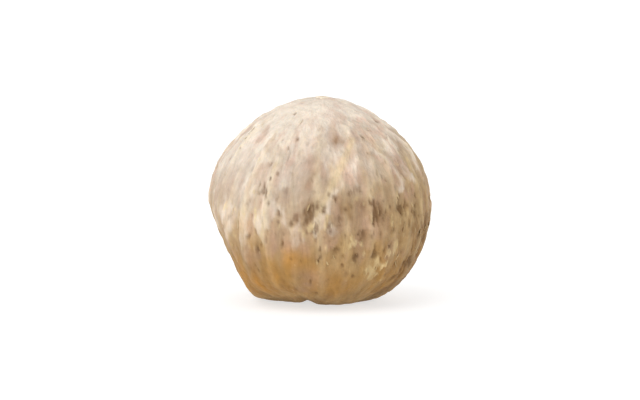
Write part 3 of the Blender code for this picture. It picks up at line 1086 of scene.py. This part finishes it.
class PeppercornStage(bpy.types.PropertyGroup):
    camera_elevation: bpy.props.FloatProperty(
        name="Camera elevation",
        description="How far the camera looks down on the seed",
        default=math.radians(6.0),
        unit="ROTATION",
        subtype="ANGLE",
    )
    camera_lens: bpy.props.FloatProperty(
        name="Camera lens", description="Focal length in millimetres", default=150.0, min=1.0, unit="CAMERA"
    )
    frame_width: length("Frame width", "How wide a view the camera takes in at the seed", 13.09)
    key_strength: strength("Key light", "Strength of the light from the upper left", 1.05)
    fill_strength: strength("Fill light", "Strength of the low light from the left", 0.25)
    tent_strength: strength("Light tent", "Strength of the light from all round", 0.80)


class PEPPERCORN_OT_add_body(bpy.types.Operator):
    """Adds the seed's body with its ribs, worn pulp, pits and stains"""

    bl_idname = "peppercorn.add_body"
    bl_label = "Body"

    def execute(self, context):
        form = context.scene.peppercorn_form
        globe = Globe(MERIDIANS, PARALLELS)
        skin = Skin(globe, form)
        radii = seed_radii(globe, skin.radius, skin.height)
        points = globe.ways * radii[:, None] @ rest_turn().T
        low, high = points.min(axis=0), points.max(axis=0)
        points -= [(low[0] + high[0]) / 2, (low[1] + high[1]) / 2, low[2]]
        fibres = globe.fibre_space(skin.radius, *FINE_FIBRE_SIZE, FINE_FIBRE_SEED)
        body = add_piece("peppercorn_body", points, globe.faces(), skin.masks | {"fibres": fibres})
        finish_piece(body, context)
        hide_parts("peppercorn")
        return {"FINISHED"}


class PEPPERCORN_OT_add_flakes(bpy.types.Operator):
    """Adds the loose flakes of dry pulp that cling to the body by one end"""

    bl_idname = "peppercorn.add_flakes"
    bl_label = "Flakes"

    def execute(self, context):
        flake_count = context.scene.peppercorn_form.flake_count
        random = np.random.default_rng(FLAKE_SEED)
        ways = strewn_ways(flake_count, random, flake_chance)
        nearest = (ways @ Globe(MERIDIANS, PARALLELS).ways.T).argmax(axis=1)
        roots = body_values("position", "vector", 3)[nearest] @ rest_turn()
        globe = Globe(*FLAKE_GRID)
        points = flake_points(globe, roots, ways, random) @ rest_turn().T
        layers = {name: body_values(name)[nearest].repeat(len(globe.ways)) for name in FLAKE_MASKS}
        layers["shred"] = between(FLAKE_PALER, random.random(flake_count)).repeat(len(globe.ways))
        flakes = add_piece("pulp_flakes", points, globe.faces(flake_count), layers)
        finish_piece(flakes, context)
        return {"FINISHED"}


class PEPPERCORN_OT_add_remnants(bpy.types.Operator):
    """Adds what is left of the flower in the dimple at the apex and of the stalk in the scar at the base"""

    bl_idname = "peppercorn.add_remnants"
    bl_label = "Remnants"

    def execute(self, context):
        body = body_values("position", "vector", 3)
        globe = Globe(*REMNANT_GRID)
        dip = bump(globe.sine, DIP_STAIN)
        stigma = button(globe, *STIGMA) @ rest_turn().T + body[0]
        layers = STIGMA_FINISH | {"pulp": between(STIGMA_PULP, dip), "brown": STIGMA_BROWN * dip}
        finish_piece(add_piece("stigma_remnant", stigma, globe.faces(), layers), context)
        stalk = button(globe, *STALK) * (1, -1, -1) @ rest_turn().T + body[-1]
        layers = {"brown": STALK_BROWN, "streak": STALK_STREAK * globe.sine}
        finish_piece(add_piece("stalk_remnant", stalk, globe.faces(), layers), context)
        return {"FINISHED"}


class PEPPERCORN_OT_set_stage(bpy.types.Operator):
    """Sets up the paper, the lights and the camera"""

    bl_idname = "peppercorn.set_stage"
    bl_label = "Stage"

    def execute(self, context):
        scene = context.scene
        stage = scene.peppercorn_stage
        scene.view_settings.view_transform = "Standard"
        corner = FLOOR_SIZE / 2
        corners = [(-corner, -corner, 0), (corner, -corner, 0), (corner, corner, 0), (-corner, corner, 0)]
        paper = add_piece("paper", corners, [(0, 1, 2, 3)])
        paper.data.materials.append(matt_paper_material("matt_paper", scene.peppercorn_colours))
        add_sun("key_light", stage.key_strength, KEY_SPREAD, KEY_FROM)
        add_sun("fill_light", stage.fill_strength, FILL_SPREAD, FILL_FROM)
        add_light_tent(stage.tent_strength)
        add_camera(stage)
        return {"FINISHED"}


class PEPPERCORN_PT_panel(bpy.types.Panel):
    """Lists the pieces, and the sizes, colours and lights that they are made with"""

    bl_label = "White Peppercorn"
    bl_space_type = "VIEW_3D"
    bl_region_type = "UI"
    bl_category = "Peppercorn"

    def draw(self, context):
        column = self.layout.column()
        for operator in OPERATORS:
            column.operator(operator.bl_idname)
        for name, group in GROUPS.items():
            column.separator()
            for key in group.__annotations__:
                column.prop(getattr(context.scene, name), key)


GROUPS = {
    "peppercorn_form": PeppercornForm,
    "peppercorn_colours": PeppercornColours,
    "peppercorn_stage": PeppercornStage,
}
OPERATORS = (
    PEPPERCORN_OT_add_body,
    PEPPERCORN_OT_add_flakes,
    PEPPERCORN_OT_add_remnants,
    PEPPERCORN_OT_set_stage,
)
CLASSES = (*GROUPS.values(), *OPERATORS, PEPPERCORN_PT_panel)


def register():
    for one in CLASSES:
        bpy.utils.register_class(one)
    for name, group in GROUPS.items():
        setattr(bpy.types.Scene, name, bpy.props.PointerProperty(type=group))


def unregister():
    for name in GROUPS:
        delattr(bpy.types.Scene, name)
    for one in reversed(CLASSES):
        bpy.utils.unregister_class(one)


def main():
    register()
    bpy.ops.peppercorn.add_body()
    bpy.ops.peppercorn.add_flakes()
    bpy.ops.peppercorn.add_remnants()
    bpy.ops.peppercorn.set_stage()
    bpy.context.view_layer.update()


if __name__ == "__main__":
    main()
